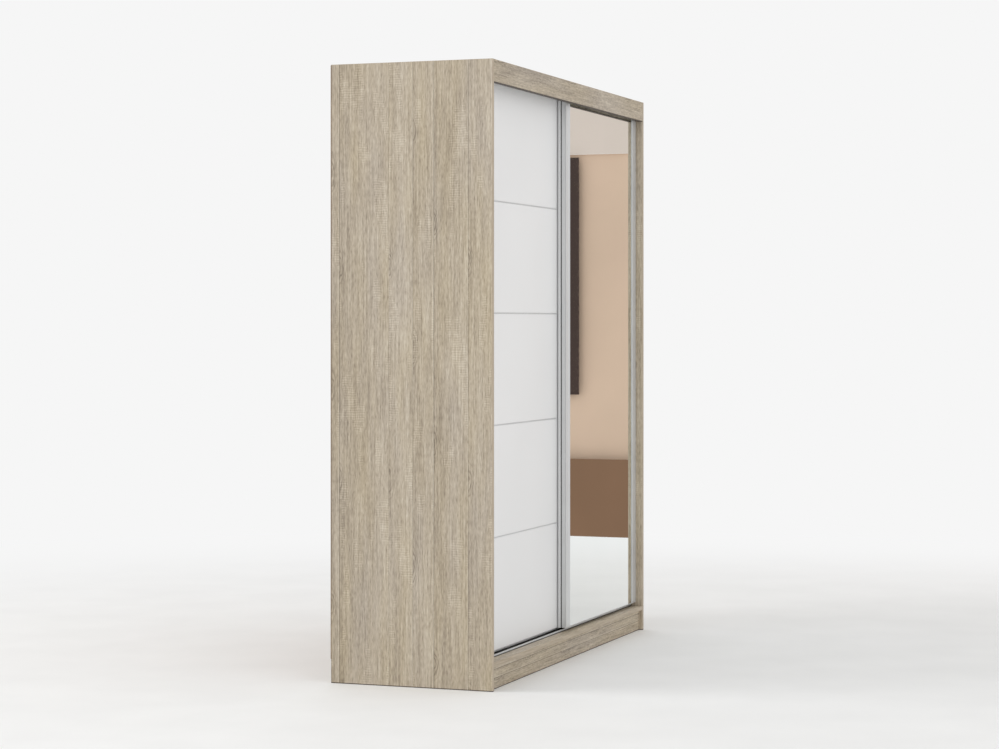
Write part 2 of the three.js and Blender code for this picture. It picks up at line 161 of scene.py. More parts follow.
def set_up(name, bm, finish):
    """Makes a part of the studio of a bmesh."""
    mesh = bpy.data.meshes.new(name)
    bm.to_mesh(mesh)
    bm.free()
    mesh.materials.append(finish)
    part = bpy.data.objects.new(name, mesh)
    scene.collection.objects.link(part)
    return part


bm = bmesh.new()
bmesh.ops.create_circle(bm, cap_ends=True, segments=96, radius=FLOOR_RADIUS)
set_up("studio_floor", bm, floor_finish)

# Each flat: where it starts and ends across the room, its bottom and top, and its colour.
FLAT_X = 5.0
FLAT_GAP = 0.02
FLATS = [
    ("warm_flat", -2.40, -1.20, 0.0, 2.27, "dcc1aa"),
    ("pale_flat", -2.40, -1.20, 2.27, 3.20, "ddd0c6"),
    ("dark_flat", -2.10, -1.865, 0.84, 2.25, "40302a"),
    ("brown_flat", -2.40, -1.20, 0.0, 0.46, "86664d"),
]

for i, (name, start, end, bottom, top, code) in enumerate(FLATS):
    finish, tree = new_finish(name)
    mottle = add(tree, "ShaderNodeTexNoise", {"Scale": 2.0},
                 {"Vector": add(tree, "ShaderNodeTexCoord").outputs["Object"]})
    tone = add(tree, "ShaderNodeHueSaturation", {"Color": paint(code)},
               {"Value": add(tree, "ShaderNodeMapRange", {"To Min": 0.9, "To Max": 1.1}, {"Value": mottle})})
    close_finish(tree, add(tree, "ShaderNodeBsdfPrincipled", {"Roughness": 0.8}, {"Base Color": tone}))
    x = FLAT_X - i * FLAT_GAP
    bm = bmesh.new()
    corners = [(x, start, bottom), (x, start, top), (x, end, top), (x, end, bottom)]
    bm.faces.new([bm.verts.new(corner) for corner in corners])
    set_up(name, bm, finish).visible_camera = False


# Carcass boards. Sixteen millimetre chipboard with a printed melamine face that looks like rough-sawn
# oak: strips of differing tone glued side by side, long streaks, pores, and patches of light saw marks.
# Edges that show carry a plastic band of the same print, and the hidden ones are left raw.

OAK_DEEP = "857a6b"
OAK_DARK = "a59886"
OAK_MID = "bdb09c"
OAK_LIGHT = "d6ccba"
OAK_BASE = -0.70

# The print repeats every STRIP_PERIOD. Each strip has its start, as a part of that period, and its tone,
# which also says how far the strip's grain is slid along, so that no two strips look alike.
STRIP_PERIOD = 0.607
STRIPS = [(0.0, 0.50), (0.05, 0.45), (0.36, 0.61), (0.51, 0.59), (0.64, 0.508), (0.85, 0.577)]
STRIP_SLIDE = 23.76
STRIP_DROP = 0.0002
SEAM = 0.0026

# Saw marks and growth rings are 3 to 4 mm apart on such a print. They are drawn twice as coarse to show.
SAW_PITCH = 0.0085
ARCH_PITCH = 0.0070
ARCH_SPACING = 0.760
ARCH_STRETCH = 3.4
ARCH_REACH = 0.036
ARCH_WOBBLE = 0.022
BOARD_ROUND = 0.0006
BAND = 0.0010


def oak_print(name, across, along, strip_start=0.302):
    """The oak print, with its grain along one axis and strips side by side across it."""
    material, tree = new_finish(name)
    axes = add(tree, "ShaderNodeSeparateXYZ", links={0: add(tree, "ShaderNodeTexCoord").outputs["Object"]})
    u, v, w = (axes.outputs[i] for i in (across, along, 3 - across - along))

    def over_strips(stops, interpolation, shift=0.0):
        """A value laid out over the strips, which repeat every STRIP_PERIOD."""
        start = strip_start + shift
        turns = add(tree, "ShaderNodeMapRange",
                    {"clamp": False, "From Min": start, "From Max": start - STRIP_PERIOD}, {"Value": u})
        wrapped = add(tree, "ShaderNodeMath", {"operation": "WRAP", 1: 1.0, 2: 0.0}, {0: turns})
        ramp = add(tree, "ShaderNodeValToRGB", {"stops": stops}, {"Fac": wrapped})
        ramp.color_ramp.interpolation = interpolation
        return ramp

    # Strips: the tone of each, how far it is from the seam at its start, and the same a seam's width on.
    ends = [start for start, tone in STRIPS[1:]] + [1.0]
    slopes = [stop for (start, tone), end in zip(STRIPS, ends)
              for stop in ((start, 0.0), (end - STRIP_DROP, end - start))]
    strip = over_strips(STRIPS, "CONSTANT")
    from_seam = over_strips(slopes, "LINEAR")
    before_seam = over_strips(slopes, "LINEAR", SEAM)
    own_start = add(tree, "ShaderNodeMath", {"operation": "MULTIPLY_ADD", 1: STRIP_SLIDE},
                    {0: strip, 2: v})
    board = add(tree, "ShaderNodeCombineXYZ", links={0: u, 1: own_start, 2: w})

    def grain(wide, long, low=0.0, high=1.0, detail=2.0):
        """Noise in grains of a given width and length in metres, as a mask from low to high."""
        place = add(tree, "ShaderNodeMapping", {"vector_type": "TEXTURE", "Scale": (wide, long, wide)},
                    {"Vector": board})
        noise = add(tree, "ShaderNodeTexNoise", {"Scale": 1.0, "Detail": detail, "Roughness": 0.6},
                    {"Vector": place})
        return add(tree, "ShaderNodeMapRange", {"From Min": low, "From Max": high}, {"Value": noise})

    # Arches: growth rings round points that follow each other along the seams, where the saw has cut
    # through a bulge in the trunk.
    sideways = add(tree, "ShaderNodeMath", {"operation": "MULTIPLY", 1: STRIP_PERIOD}, {0: from_seam})
    lengthways = add(tree, "ShaderNodeMath",
                     {"operation": "WRAP", 1: ARCH_SPACING / 2, 2: -ARCH_SPACING / 2}, {0: own_start})
    lengthways = add(tree, "ShaderNodeMath", {"operation": "DIVIDE", 1: ARCH_STRETCH}, {0: lengthways})
    away = add(tree, "ShaderNodeVectorMath", {"operation": "LENGTH"},
               {0: add(tree, "ShaderNodeCombineXYZ", links={0: sideways, 1: lengthways})}).outputs["Value"]
    away = add(tree, "ShaderNodeMath", {"operation": "MULTIPLY_ADD", 1: ARCH_WOBBLE},
               {0: grain(0.03, 0.07), 2: away})
    turns = add(tree, "ShaderNodeMath", {"operation": "MULTIPLY", 1: 2 * math.pi / ARCH_PITCH}, {0: away})
    rings = add(tree, "ShaderNodeMapRange", {"From Min": -0.2},
                {"Value": add(tree, "ShaderNodeMath", {"operation": "SINE"}, {0: turns})})
    near = add(tree, "ShaderNodeMapRange", {"From Min": ARCH_REACH, "From Max": ARCH_REACH * 0.6},
               {"Value": away})
    arches = add(tree, "ShaderNodeMath", {"operation": "MULTIPLY"}, {0: rings, 1: near})

    # Saw marks: strokes across the grain, in patches and broken by the fibres.
    stroke = add(tree, "ShaderNodeMath", {"operation": "MULTIPLY_ADD", 1: 1 / SAW_PITCH},
                 {0: v, 2: grain(0.03, 0.09)})
    stroke = add(tree, "ShaderNodeMath", {"operation": "FRACT"}, {0: stroke})
    saw = add(tree, "ShaderNodeMapRange", {"From Min": 0.52, "From Max": 0.40}, {"Value": stroke})
    for patches in (grain(0.055, 0.18, 0.58, 0.64, detail=1.0), grain(0.030, 0.006, 0.32, 0.52)):
        saw = add(tree, "ShaderNodeMath", {"operation": "MULTIPLY"}, {0: saw, 1: patches})

    # Tone: all layers are added up with their weights and coloured from deep to light.
    streaks = grain(0.0062, 0.190, detail=3.0)
    pores = grain(0.0036, 0.020, 0.56, 0.74, detail=1.0)
    broad = grain(0.045, 0.80)
    fibre = grain(0.0040, 0.026, detail=1.0)
    layers = [(broad, 0.32), (strip, 0.55), (from_seam, 0.40), (fibre, 0.60), (pores, -0.16),
              (arches, -0.30), (saw, 0.14)]
    for seam, depth in ((from_seam, -0.36), (before_seam, 0.20)):
        line = add(tree, "ShaderNodeMath", {"operation": "LESS_THAN", 1: SEAM / STRIP_PERIOD}, {0: seam})
        layers.append((line, depth))
    tone = add(tree, "ShaderNodeMath", {"operation": "MULTIPLY_ADD", 1: 0.84, 2: OAK_BASE}, {0: streaks})
    for layer, weight in layers:
        tone = add(tree, "ShaderNodeMath", {"operation": "MULTIPLY_ADD", 1: weight}, {0: layer, 2: tone})
    colour = add(tree, "ShaderNodeValToRGB", {"stops": [
        (0.10, paint(OAK_DEEP)), (0.34, paint(OAK_DARK)), (0.56, paint(OAK_MID)), (0.86, paint(OAK_LIGHT))
    ]}, {"Fac": tone})
    tint = grain(0.09, 0.70)
    saturation = add(tree, "ShaderNodeMapRange",
                     {"From Min": 0.3, "From Max": 0.7, "To Min": 0.88, "To Max": 1.14}, {"Value": tint})
    hue = add(tree, "ShaderNodeMapRange",
              {"From Min": 0.3, "From Max": 0.7, "To Min": 0.497, "To Max": 0.504}, {"Value": tint})
    tinted = add(tree, "ShaderNodeHueSaturation",
                 links={"Color": colour, "Saturation": saturation, "Hue": hue})
    relief = add(tree, "ShaderNodeMath", {"operation": "MULTIPLY_ADD", 1: -1.0}, {0: pores, 2: saw})
    bump = add(tree, "ShaderNodeBump", {"Strength": 0.3, "Distance": 0.0002}, {"Height": relief})
    gloss = add(tree, "ShaderNodeMapRange", {"To Min": 0.50, "To Max": 0.68}, {"Value": streaks})
    close_finish(tree, add(tree, "ShaderNodeBsdfPrincipled", {"IOR": 1.5, "Specular IOR Level": 0.4},
                           {"Base Color": tinted, "Roughness": gloss, "Normal": bump}))
    return material


def edge_band(name, along):
    """Plastic edging with a plainer print: only its long streaks, about 4 mm wide, show."""
    material, tree = new_finish(name)
    place = add(tree, "ShaderNodeTexCoord").outputs["Object"]
    stretch = [260.0, 260.0, 260.0]
    stretch[along] = 9.0
    streaks = add(tree, "ShaderNodeTexNoise", {"Scale": 1.0, "Detail": 3.0},
                  {"Vector": add(tree, "ShaderNodeMapping", {"Scale": stretch}, {"Vector": place})})
    colour = add(tree, "ShaderNodeValToRGB", {"stops": [(0.3, paint("a19079")), (0.7, paint("bdae98"))]},
                 {"Fac": streaks})
    bump = add(tree, "ShaderNodeBump", {"Strength": 0.2, "Distance": 0.0001}, {"Height": streaks})
    close_finish(tree, add(tree, "ShaderNodeBsdfPrincipled", {"IOR": 1.53, "Roughness": 0.42},
                           {"Base Color": colour, "Normal": bump}))
    return material


def raw_chipboard():
    """Pressed wood chips of 2 to 3 mm, from brown bark to pale sapwood."""
    material, tree = new_finish("raw_chipboard_edge")
    place = add(tree, "ShaderNodeTexCoord").outputs["Object"]
    chips = add(tree, "ShaderNodeTexVoronoi", {"Scale": 420.0}, {"Vector": place})
    colour = add(tree, "ShaderNodeValToRGB",
                 {"stops": [(0.1, paint("8f6d45")), (0.5, paint("b8945f")), (0.9, paint("d8bd8b"))]},
                 {"Fac": add(tree, "ShaderNodeSeparateColor", links={0: chips.outputs["Color"]})})
    bump = add(tree, "ShaderNodeBump", {"Strength": 0.6, "Distance": 0.0004},
               {"Height": chips.outputs["Distance"]})
    close_finish(tree, add(tree, "ShaderNodeBsdfPrincipled", {"Roughness": 0.92, "IOR": 1.45},
                           {"Base Color": colour, "Normal": bump}))
    return material


def painted_shade_strip():
    """Painted shade in dark brown, grained at about 1.5 mm: the contact shadow at the floor, the fascia's
    shaded underside.
    """
    material, tree = new_finish("painted_shade_lower_edge")
    place = add(tree, "ShaderNodeTexCoord").outputs["Object"]
    grain = add(tree, "ShaderNodeTexNoise", {"Scale": 700.0, "Detail": 2.0}, {"Vector": place})
    colour = add(tree, "ShaderNodeValToRGB", {"stops": [(0.3, paint("33291f")), (0.7, paint("45382b"))]},
                 {"Fac": grain})
    rough = add(tree, "ShaderNodeMapRange", {"To Min": 0.45, "To Max": 0.62}, {"Value": grain})
    bump = add(tree, "ShaderNodeBump", {"Strength": 0.15, "Distance": 0.0001}, {"Height": grain})
    close_finish(tree, add(tree, "ShaderNodeBsdfPrincipled", {"IOR": 1.53},
                           {"Base Color": colour, "Roughness": rough, "Normal": bump}))
    return material


def block(low, high):
    """A bmesh box between two corners."""
    bm = bmesh.new()
    bmesh.ops.create_cube(bm, size=1)
    size = Vector(high) - Vector(low)
    bmesh.ops.scale(bm, vec=size, verts=bm.verts)
    bmesh.ops.translate(bm, vec=(Vector(low) + Vector(high)) / 2, verts=bm.verts)
    return bm


def ease(bm, width, segments=2, sharper_than=30):
    """Rounds every edge that is sharper than an angle."""
    edges = [edge for edge in bm.edges
             if len(edge.link_faces) == 2 and edge.calc_face_angle() > math.radians(sharper_than)]
    bmesh.ops.bevel(bm, geom=edges, offset=width, offset_type="OFFSET", segments=segments, profile=0.5,
                    affect="EDGES", clamp_overlap=True, material=-1)


def fit(name, bm, finishes, body, slot, *stands_for):
    """Makes a piece of a bmesh, lets it ride on a body and hides the CAD nodes it stands for."""
    mesh = bpy.data.meshes.new(name)
    bm.to_mesh(mesh)
    bm.free()
    for finish in finishes:
        mesh.materials.append(finish)
    mesh.shade_smooth()
    mesh.set_sharp_from_angle(angle=math.radians(20))
    piece = bpy.data.objects.new(name, mesh)
    scene.collection.objects.link(piece)
    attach(piece, body)
    if stands_for:
        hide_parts(*stands_for)
    return piece


X, Y, Z = 0, 1, 2
bands = {axis: edge_band(f"oak_edge_band_{'xyz'[axis]}", axis) for axis in (X, Y, Z)}
raw_edge = raw_chipboard()
brown = painted_shade_strip()
upright_oak = oak_print("oak_print_upright", Y, Z)
flat_oak = oak_print("oak_print_flat", Y, X, strip_start=0.21)
lengthwise_oak = oak_print("oak_print_lengthwise", Z, X, strip_start=0.070)
fascia_oak = oak_print("oak_print_fascia", Z, X, strip_start=2.215)
depthwise_oak = oak_print("oak_print_depthwise", Z, Y)

# Each board: its print, the axis its grain follows, the axis through its thickness, and the edges that
# are banded, as (axis, side) with side -1 for the lower end of that axis. The boards that stand on the
# floor, and the fascia, have a dark brown strip of painted shade along their lower edge: the contact
# shadow at the floor, and the shaded underside of the fascia.
SHADE_STRIP_HEIGHT = 0.0030
SHADE_STRIP_BOARDS = ("side_panel_left", "side_panel_right", "plinth_front", "plinth_rear", "top_fascia")
BOARDS = {
    "side_panel_left": (upright_oak, Z, X, [(Y, -1), (Z, 1)]),
    "side_panel_right": (upright_oak, Z, X, [(Y, -1), (Z, 1)]),
    "partition": (upright_oak, Z, X, [(Y, -1)]),
    "top_fascia": (fascia_oak, X, Y, [(Z, 1)]),
    "plinth_front": (lengthwise_oak, X, Y, []),
    "plinth_rear": (lengthwise_oak, X, Y, []),
    "plinth_brace": (depthwise_oak, Y, X, []),
    "bottom_panel": (flat_oak, X, Z, [(Y, -1)]),
    "top_panel": (flat_oak, X, Z, [(Y, 1)]),
    **{f"shelf_{i}": (flat_oak, X, Z, [(Y, -1)]) for i in range(1, 5)},
    "hat_shelf": (flat_oak, X, Z, [(Y, -1)]),
}

for name, (oak, grain_axis, thickness, banded) in BOARDS.items():
    low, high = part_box(name)
    bm = block(low, high)
    if name in SHADE_STRIP_BOARDS:
        bmesh.ops.bisect_plane(bm, geom=bm.verts[:] + bm.edges[:] + bm.faces[:],
                               plane_co=(0, 0, low.z + SHADE_STRIP_HEIGHT), plane_no=(0, 0, -1))
    for axis, side in banded:
        normal = Vector((0, 0, 0))
        normal[axis] = side
        corner = Vector(high if side > 0 else low)
        bmesh.ops.bisect_plane(bm, geom=bm.verts[:] + bm.edges[:] + bm.faces[:],
                               plane_co=corner - BAND * normal, plane_no=normal)
    ease(bm, BOARD_ROUND, segments=2)
    for face in bm.faces:
        centre = face.calc_center_median()
        face.material_index = 0 if abs(face.normal[thickness]) > 0.9 else 2
        for axis, side in banded:
            depth = (high[axis] - centre[axis]) if side > 0 else (centre[axis] - low[axis])
            if depth < BAND:
                face.material_index = 1
        # The lowest few millimetres of these boards, their underside too, take the painted shade.
        if name in SHADE_STRIP_BOARDS and centre.z - low.z < SHADE_STRIP_HEIGHT:
            face.material_index = 3
    fit(f"{name}_board", bm, [oak, bands[grain_axis], raw_edge, brown], "carcass", "oak_board", name)


# Back. Two sheets of three millimetre hardboard, lacquered pale on the side that faces the shelves and
# bare brown behind. They meet on the partition and are nailed every 150 mm around their edges.

SHEET_ROUND = 0.0004
NAIL_HEAD = 0.0028
NAIL_PROUD = 0.0004
NAIL_SPACING = 0.150
NAIL_INSET = 0.007
NAIL_SIDES = 10
HEAD_TAPER = 0.82
RECESS_RIM = 0.45


def hardboard(name, dark, light):
    """Pressed wood fibre: mottling of a hand's width, and fibres about a millimetre long."""
    material, tree = new_finish(name)
    place = add(tree, "ShaderNodeTexCoord").outputs["Object"]
    cloud = add(tree, "ShaderNodeTexNoise", {"Scale": 7.0, "Detail": 5.0}, {"Vector": place})
    fibres = add(tree, "ShaderNodeTexNoise", {"Scale": 900.0, "Detail": 2.0, "Distortion": 1.5},
                 {"Vector": place})
    mixed = add(tree, "ShaderNodeMath", {"operation": "MULTIPLY_ADD", 1: 0.5},
                {0: fibres, 2: add(tree, "ShaderNodeMath", {"operation": "MULTIPLY", 1: 0.5}, {0: cloud})})
    colour = add(tree, "ShaderNodeValToRGB", {"stops": [(0.35, paint(dark)), (0.65, paint(light))]},
                 {"Fac": mixed})
    bump = add(tree, "ShaderNodeBump", {"Strength": 0.25, "Distance": 0.0002}, {"Height": fibres})
    close_finish(tree, add(tree, "ShaderNodeBsdfPrincipled", {"Roughness": 0.82, "IOR": 1.48},
                           {"Base Color": colour, "Normal": bump}))
    return material


def lacquered_hardboard():
    """A thin roller-coated lacquer, with the 4 mm ripple that a roller leaves."""
    material, tree = new_finish("lacquered_hardboard")
    place = add(tree, "ShaderNodeTexCoord").outputs["Object"]
    ripple = add(tree, "ShaderNodeTexNoise", {"Scale": 260.0, "Detail": 2.0}, {"Vector": place})
    colour = add(tree, "ShaderNodeValToRGB", {"stops": [(0.3, paint("dcd7cb")), (0.7, paint("e6e1d6"))]},
                 {"Fac": add(tree, "ShaderNodeTexNoise", {"Scale": 5.0}, {"Vector": place})})
    bump = add(tree, "ShaderNodeBump", {"Strength": 0.15, "Distance": 0.0001}, {"Height": ripple})
    close_finish(tree, add(tree, "ShaderNodeBsdfPrincipled", {"Roughness": 0.5, "IOR": 1.5},
                           {"Base Color": colour, "Normal": bump}))
    return material


bare_back = hardboard("bare_hardboard", "7b5b3c", "9a7750")
lacquered_back = lacquered_hardboard()


def galvanised(name, dark, light, roughness):
    """Zinc-plated steel: a dull bluish grey with patches of crystals about 3 mm wide."""
    material, tree = new_finish(name)
    place = add(tree, "ShaderNodeTexCoord").outputs["Object"]
    crystals = add(tree, "ShaderNodeTexVoronoi", {"Scale": 350.0}, {"Vector": place})
    level = add(tree, "ShaderNodeSeparateColor", links={0: crystals.outputs["Color"]})
    colour = add(tree, "ShaderNodeValToRGB", {"stops": [(0.2, paint(dark)), (0.8, paint(light))]},
                 {"Fac": level})
    rough = add(tree, "ShaderNodeMapRange", {"To Min": roughness - 0.08, "To Max": roughness + 0.08},
                {"Value": level})
    scuff = add(tree, "ShaderNodeTexNoise", {"Scale": 1200.0, "Detail": 3.0}, {"Vector": place})
    bump = add(tree, "ShaderNodeBump", {"Strength": 0.12, "Distance": 0.0001}, {"Height": scuff})
    close_finish(tree, add(tree, "ShaderNodeBsdfPrincipled", {"Metallic": 1.0},
                           {"Base Color": colour, "Roughness": rough, "Normal": bump}))
    return material


zinc = galvanised("zinc_plated_steel", "9a9ea2", "b9bdc0", 0.38)


def round_head(bm, place, axis, radius, thickness, sides=16, recess=0.0):
    """Adds a low round head that tapers towards its top, with a round recess if it takes a driver.
    axis points out of the head."""
    made = bmesh.ops.create_cone(bm, cap_ends=True, segments=sides, radius1=radius,
                                 radius2=radius * HEAD_TAPER, depth=thickness)
    verts = made["verts"]
    if recess:
        top = [f for f in {f for v in verts for f in v.link_faces} if f.normal.z > 0.9]
        inner = bmesh.ops.inset_region(bm, faces=top, thickness=radius * RECESS_RIM)
        pushed = bmesh.ops.extrude_face_region(bm, geom=top)
        low = [g for g in pushed["geom"] if isinstance(g, bmesh.types.BMVert)]
        bmesh.ops.translate(bm, vec=(0, 0, -recess), verts=low)
        bmesh.ops.delete(bm, geom=top, context="FACES")
        verts = list({v for v in verts} | set(low) | {v for f in inner["faces"] for v in f.verts})
        verts = [v for v in verts if v.is_valid]
    turn = Vector((0, 0, 1)).rotation_difference(Vector(axis)).to_matrix()
    centre = Vector(place) + Vector(axis) * thickness / 2
    bmesh.ops.transform(bm, matrix=Matrix.Translation(centre) @ turn.to_4x4(), verts=verts)


def spaced(start, end, spacing):
    """Places from start to end, evenly spread at about a spacing."""
    steps = max(1, round((end - start) / spacing))
    return [start + (end - start) * i / steps for i in range(steps + 1)]


nails = bmesh.new()
for name in ("back_panel_left", "back_panel_right"):
    low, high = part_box(name)
    bm = block(low, high - Vector((0, NAIL_PROUD, 0)))
    ease(bm, SHEET_ROUND, segments=1)
    for face in bm.faces:
        face.material_index = 1 if face.normal.y < -0.9 else 0
    fit(f"{name}_sheet", bm, [bare_back, lacquered_back], "carcass", "back_board", name)
    left, right = low.x + NAIL_INSET, high.x - NAIL_INSET
    bottom, top = low.z + NAIL_INSET, high.z - NAIL_INSET
    spots = {(x, z) for x in (left, right) for z in spaced(bottom, top, NAIL_SPACING)}
    spots |= {(x, z) for z in (bottom, top) for x in spaced(left, right, NAIL_SPACING)}
    for x, z in sorted(spots):
        round_head(nails, (x, high.y - NAIL_PROUD * 1.1, z), (0, 1, 0), NAIL_HEAD, NAIL_PROUD,
                   sides=NAIL_SIDES)
fit("back_nails", nails, [zinc], "carcass", "zinc_steel")


# Board fittings. Zinc cam discs, let into the underside of the top panel and the hat shelf, pull them
# against the sides. Each loose shelf rests on four steel pins in the side panel and the partition.

CAM_RADIUS = 0.0075
CAM_PROUD = 0.0005
CAM_INSET = 0.034
CAM_FROM_EDGE = 0.060
PIN_RADIUS = 0.0025
PIN_LENGTH = 0.009
PIN_FROM_EDGE = 0.037

cams = bmesh.new()
for name in ("top_panel", "hat_shelf"):
    low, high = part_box(name)
    for x in (low.x + CAM_INSET, high.x - CAM_INSET):
        for y in (low.y + CAM_FROM_EDGE, (low.y + high.y) / 2, high.y - CAM_FROM_EDGE):
            round_head(cams, (x, y, low.z + CAM_PROUD * 0.4), (0, 0, -1), CAM_RADIUS, CAM_PROUD,
                       sides=28)
fit("cam_fittings", cams, [zinc], "carcass", "zinc_steel")

pins = bmesh.new()
for i in range(1, 5):
    low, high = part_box(f"shelf_{i}")
    for x, side in ((low.x, 1), (high.x, -1)):
        for y in (low.y + PIN_FROM_EDGE, high.y - PIN_FROM_EDGE):
            round_head(pins, (x, y, low.z - PIN_RADIUS), (side, 0, 0), PIN_RADIUS, PIN_LENGTH)
fit("shelf_pins", pins, [zinc], "carcass", "zinc_steel")


# Hanging rail. An oval steel tube, drawn and then chromed, that rests in two cast zinc sockets. One is
# fixed to the partition and the other to the right side panel, under the hat shelf.

TUBE_ROUND = 0.0003
SOCKET_ROUND = 0.0005


def chromed(name):
    """Bright plating with the faint lengthwise lines of a drawn tube, about a millimetre apart."""
    material, tree = new_finish(name)
    place = add(tree, "ShaderNodeTexCoord").outputs["Object"]
    lines = add(tree, "ShaderNodeTexNoise", {"Scale": 1.0, "Detail": 2.0},
                {"Vector": add(tree, "ShaderNodeMapping", {"Scale": (4, 900, 900)}, {"Vector": place})})
    rough = add(tree, "ShaderNodeMapRange", {"To Min": 0.07, "To Max": 0.16}, {"Value": lines})
    colour = add(tree, "ShaderNodeValToRGB", {"stops": [(0.2, paint("d2d3d4")), (0.8, paint("dedfdf"))]},
                 {"Fac": lines})
    bump = add(tree, "ShaderNodeBump", {"Strength": 0.04, "Distance": 0.0001}, {"Height": lines})
    close_finish(tree, add(tree, "ShaderNodeBsdfPrincipled", {"Metallic": 1.0},
                           {"Base Color": colour, "Roughness": rough, "Normal": bump}))
    return material


def copy_of(node):
    """A bmesh copy of a CAD node, with its loose triangles merged and its flat ones joined."""
    bm = bmesh.new()
    bm.from_mesh(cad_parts[node].data)
    bmesh.ops.remove_doubles(bm, verts=bm.verts, dist=1e-6)
    bmesh.ops.dissolve_limit(bm, angle_limit=math.radians(0.4), verts=bm.verts, edges=bm.edges)
    return bm


chrome = chromed("chromed_tube")
bm = copy_of("hanging_rail")
ease(bm, TUBE_ROUND, segments=1, sharper_than=60)
fit("hanging_rail_tube", bm, [chrome], "carcass", "chrome", "hanging_rail")
for name, side in (("rail_socket_left", 1), ("rail_socket_right", -1)):
    bm = copy_of(name)
    ease(bm, SOCKET_ROUND, segments=2, sharper_than=60)
    fit(f"{name}_cup", bm, [zinc], "carcass", "zinc_steel", name)


# Tracks. Both are extruded aluminium, screwed every 300 mm: the bottom track between its two ribs, the
# top track inside its channels. Below the upper part of its ribs the bottom track is painted a dark
# brownish grey as shade, the shade of the low gap in front of its ribs.

def anodised(name, along, dark="cbcccd", light="dcdddd", roughness=0.42):
    """Anodising over an extrusion: satin, with die lines along its length, drawn 1.4 mm apart so that
    they show. Its clear oxide layer scatters part of the light, unlike bare metal."""
    material, tree = new_finish(name)
    place = add(tree, "ShaderNodeTexCoord").outputs["Object"]
    stretch = [700.0, 700.0, 700.0]
    stretch[along] = 3.0
    lines = add(tree, "ShaderNodeTexNoise", {"Scale": 1.0, "Detail": 3.0, "Roughness": 0.6},
                {"Vector": add(tree, "ShaderNodeMapping", {"Scale": stretch}, {"Vector": place})})
    cloud = add(tree, "ShaderNodeTexNoise", {"Scale": 4.0, "Detail": 2.0}, {"Vector": place})
    mixed = add(tree, "ShaderNodeMath", {"operation": "MULTIPLY_ADD", 1: 0.6},
                {0: lines, 2: add(tree, "ShaderNodeMath", {"operation": "MULTIPLY", 1: 0.4}, {0: cloud})})
    colour = add(tree, "ShaderNodeValToRGB", {"stops": [(0.3, paint(dark)), (0.7, paint(light))]},
                 {"Fac": mixed})
    rough = add(tree, "ShaderNodeMapRange", {"To Min": roughness - 0.08, "To Max": roughness + 0.08},
                {"Value": lines})
    bump = add(tree, "ShaderNodeBump", {"Strength": 0.10, "Distance": 0.0001}, {"Height": lines})
    close_finish(tree, add(tree, "ShaderNodeBsdfPrincipled", {"Metallic": 0.45},
                           {"Base Color": colour, "Roughness": rough, "Normal": bump}))
    return material


upright_aluminium = anodised("anodised_aluminium_upright", Z)
level_aluminium = anodised("anodised_aluminium_level", X)
# Painted shade: a dark brownish grey for the lower part of the bottom track.
track_shade_aluminium = anodised("painted_shade_track_aluminium", X, "47433c", "57524a", 0.5)
TRACK_UNSHADED_HEIGHT = 0.0045
TRACK_ROUND = 0.0003
TRACK_SCREW = 0.0032
TRACK_SCREW_PROUD = 0.0005
TRACK_SCREW_RECESS = TRACK_SCREW_PROUD * 0.9
TRACK_SCREW_SPACING = 0.300
TRACK_SCREW_FROM_END = 0.050
TRACK_BASE = 0.0015
TRACK_WEB = 0.002
RIBS_MIDDLE = -0.00175
CHANNEL_MIDDLE = 0.018

for name in ("bottom_track", "top_track"):
    bm = copy_of(name)
    ease(bm, TRACK_ROUND, segments=2)
    if name == "bottom_track":
        # Only the upper part of the ribs keeps the plain finish; the faces below take the painted shade.
        rib_top = max(v.co.z for v in bm.verts)
        for face in bm.faces:
            face.material_index = 0 if face.calc_center_median().z > rib_top - TRACK_UNSHADED_HEIGHT else 1
    fit(f"{name}_extrusion", bm, [level_aluminium, track_shade_aluminium], "carcass", "aluminium", name)

track_screws = bmesh.new()
low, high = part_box("bottom_track")
y = (low.y + high.y) / 2 + RIBS_MIDDLE
for x in spaced(low.x + TRACK_SCREW_FROM_END, high.x - TRACK_SCREW_FROM_END, TRACK_SCREW_SPACING):
    round_head(track_screws, (x, y, low.z + TRACK_BASE), (0, 0, 1), TRACK_SCREW, TRACK_SCREW_PROUD,
               recess=TRACK_SCREW_RECESS)
low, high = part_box("top_track")
for x in spaced(low.x + TRACK_SCREW_FROM_END, high.x - TRACK_SCREW_FROM_END, TRACK_SCREW_SPACING):
    for y in (low.y + CHANNEL_MIDDLE, high.y - CHANNEL_MIDDLE):
        round_head(track_screws, (x, y, high.z - TRACK_WEB), (0, 0, -1), TRACK_SCREW, TRACK_SCREW_PROUD,
                   recess=TRACK_SCREW_RECESS)
fit("track_screws", track_screws, [zinc], "carcass", "zinc_steel")


# Door frames. Each door has two upright stiles with a dished front for the fingers, and an angle at the
# bottom and the top. All are anodised extrusions, cut square and eased.

STILE_ROUND = 0.0004
RAIL_ROUND = 0.0003
DOORS = {"white": "white_door", "mirror": "mirror_door"}

for door, body in DOORS.items():
    for side in ("left", "right"):
        name = f"{door}_stile_{side}"
        bm = copy_of(name)
        ease(bm, STILE_ROUND, segments=2, sharper_than=35)
        fit(f"{name}_extrusion", bm, [upright_aluminium], body, "aluminium", name)
    for end in ("bottom", "top"):
        name = f"{door}_rail_{end}"
        bm = copy_of(name)
        ease(bm, RAIL_ROUND, segments=2)
        fit(f"{name}_angle", bm, [level_aluminium], body, "aluminium", name)


# White fields. Ten millimetre chipboard with a smooth white melamine face, five to the door, with a slim
# anodised strip in each joint.

FIELD_ROUND = 0.0006


